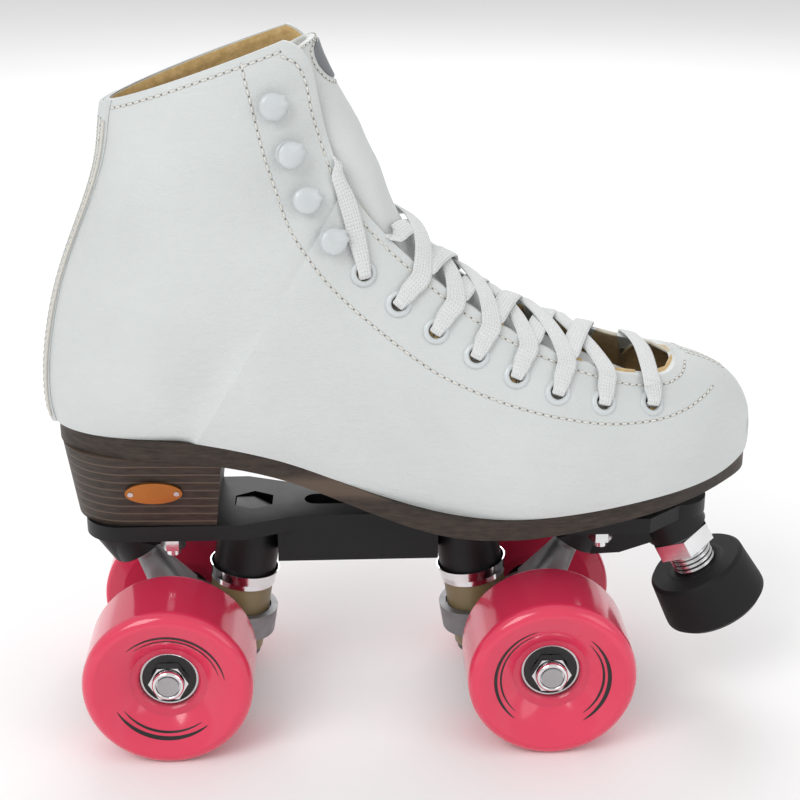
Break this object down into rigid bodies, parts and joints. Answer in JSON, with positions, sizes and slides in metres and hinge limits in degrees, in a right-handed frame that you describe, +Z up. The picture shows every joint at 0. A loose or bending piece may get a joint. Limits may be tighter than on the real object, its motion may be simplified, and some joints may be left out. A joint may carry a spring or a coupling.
{
  "type": "quad roller skate",
  "caption": "High-top white leather quad roller skate with stacked heel, cushioned steering trucks, pink wheels on bearings and a front toe stop.",
  "frame": {"origin": "centre of the footprint on the floor, under the wheels' lowest points", "axes": "+X to the toe, -Y to the outer side of the right foot, +Z up"},
  "size_m": [0.2721, 0.1046, 0.2599],
  "materials": {
    "upper_leather": "smooth white full-grain leather",
    "lining_suede": "tan suede lining",
    "tongue_leather": "white leather",
    "patch_grey": "plain grey patch",
    "board": "fibre board",
    "sole_leather": "dark brown layered leather",
    "heel_leather": "dark stacked leather",
    "badge_metal": "plain copper-orange enamel",
    "bright_steel": "bright plated steel",
    "eyelet_enamel": "white enamel",
    "hook_enamel": "white enamel",
    "lace_cord": "flat white braid",
    "plate_nylon": "black glass-filled nylon",
    "cup_plastic": "black plastic",
    "cup_chrome": "polished cup washer",
    "cushion_amber": "amber urethane",
    "stop_rubber": "black rubber",
    "truck_alloy": "dark cast aluminium",
    "axle_steel": "steel axle",
    "race_steel": "bearing steel",
    "ball_steel": "polished balls in a cage",
    "wheel_pink": "glossy pink urethane",
    "hub_pink": "glossy pink hub core"
  },
  "bodies": {
    "frame": {"upper_lateral": "upper_leather", "upper_medial": "upper_leather", "backstay": "upper_leather", "tongue": "tongue_leather", "tongue_patch": "patch_grey", "insole_board": "board", "footbed": "lining_suede", "outsole": "sole_leather", "heel_stack": "heel_leather", "heel_badge": "badge_metal", "badge_pins": "bright_steel", "eyelets": "eyelet_enamel", "hooks": "hook_enamel", "lace": "lace_cord", "plate": "plate_nylon", "mount_bolts": "bright_steel", "mount_nuts": "bright_steel", "pivot_cups": "cup_plastic", "kingpins": "bright_steel", "kingpin_nuts": "bright_steel", "cup_washers": "cup_chrome", "cushion_retainers": "bright_steel", "cushions_front": "cushion_amber", "cushions_rear": "cushion_amber", "toe_stop_lock_nut": "bright_steel"},
    "toe_stop": {"toe_stop_rubber": "stop_rubber", "toe_stop_stem": "bright_steel"},
    "truck_rear": {"hanger_rear": "truck_alloy", "axle_rear": "axle_steel", "axle_nuts_rear": "bright_steel", "inner_races_rear": "race_steel"},
    "truck_front": {"hanger_front": "truck_alloy", "axle_front": "axle_steel", "axle_nuts_front": "bright_steel", "inner_races_front": "race_steel"},
    "wheel_rear_lateral": {"tyre_rear_lateral": "wheel_pink", "hub_rear_lateral": "hub_pink", "bearing_shells_rear_lateral": "race_steel"},
    "balls_rear_lateral": {"bearing_balls_rear_lateral": "ball_steel"},
    "wheel_rear_medial": {"tyre_rear_medial": "wheel_pink", "hub_rear_medial": "hub_pink", "bearing_shells_rear_medial": "race_steel"},
    "balls_rear_medial": {"bearing_balls_rear_medial": "ball_steel"},
    "wheel_front_lateral": {"tyre_front_lateral": "wheel_pink", "hub_front_lateral": "hub_pink", "bearing_shells_front_lateral": "race_steel"},
    "balls_front_lateral": {"bearing_balls_front_lateral": "ball_steel"},
    "wheel_front_medial": {"tyre_front_medial": "wheel_pink", "hub_front_medial": "hub_pink", "bearing_shells_front_medial": "race_steel"},
    "balls_front_medial": {"bearing_balls_front_medial": "ball_steel"}
  },
  "joints": [
    {"name": "truck_rear_steer", "type": "hinge", "parent": "frame", "child": "truck_rear", "pos_m": [-0.1065, 0, 0.0694], "axis": [-0.7369, 0, 0.676], "range_deg": [-8, 8], "stiffness_Nm_per_rad": 12, "deforming": ["cushions_rear"]},
    {"name": "truck_front_steer", "type": "hinge", "parent": "frame", "child": "truck_front", "pos_m": [0.0625, 0, 0.0694], "axis": [0.7369, 0, 0.676], "range_deg": [-8, 8], "stiffness_Nm_per_rad": 12, "deforming": ["cushions_front"]},
    {"name": "wheel_rear_lateral_spin", "type": "hinge", "parent": "truck_rear", "child": "wheel_rear_lateral", "pos_m": [-0.092, -0.03625, 0.031], "axis": [0, 1, 0], "continuous": true},
    {"name": "balls_rear_lateral_orbit", "type": "hinge", "parent": "truck_rear", "child": "balls_rear_lateral", "pos_m": [-0.092, -0.03625, 0.031], "axis": [0, 1, 0], "continuous": true},
    {"name": "wheel_rear_medial_spin", "type": "hinge", "parent": "truck_rear", "child": "wheel_rear_medial", "pos_m": [-0.092, 0.03625, 0.031], "axis": [0, 1, 0], "continuous": true},
    {"name": "balls_rear_medial_orbit", "type": "hinge", "parent": "truck_rear", "child": "balls_rear_medial", "pos_m": [-0.092, 0.03625, 0.031], "axis": [0, 1, 0], "continuous": true},
    {"name": "wheel_front_lateral_spin", "type": "hinge", "parent": "truck_front", "child": "wheel_front_lateral", "pos_m": [0.048, -0.03625, 0.031], "axis": [0, 1, 0], "continuous": true},
    {"name": "balls_front_lateral_orbit", "type": "hinge", "parent": "truck_front", "child": "balls_front_lateral", "pos_m": [0.048, -0.03625, 0.031], "axis": [0, 1, 0], "continuous": true},
    {"name": "wheel_front_medial_spin", "type": "hinge", "parent": "truck_front", "child": "wheel_front_medial", "pos_m": [0.048, 0.03625, 0.031], "axis": [0, 1, 0], "continuous": true},
    {"name": "balls_front_medial_orbit", "type": "hinge", "parent": "truck_front", "child": "balls_front_medial", "pos_m": [0.048, 0.03625, 0.031], "axis": [0, 1, 0], "continuous": true},
    {"name": "toe_stop_height", "type": "slide", "parent": "frame", "child": "toe_stop", "axis": [0.4726, 0, -0.8813], "range_m": [-0.002, 0.006]}
  ],
  "couplings": [
    {"joint": "balls_rear_lateral_orbit", "follows": "wheel_rear_lateral_spin", "ratio": 0.626},
    {"joint": "balls_rear_medial_orbit", "follows": "wheel_rear_medial_spin", "ratio": 0.626},
    {"joint": "balls_front_lateral_orbit", "follows": "wheel_front_lateral_spin", "ratio": 0.626},
    {"joint": "balls_front_medial_orbit", "follows": "wheel_front_medial_spin", "ratio": 0.626}
  ]
}
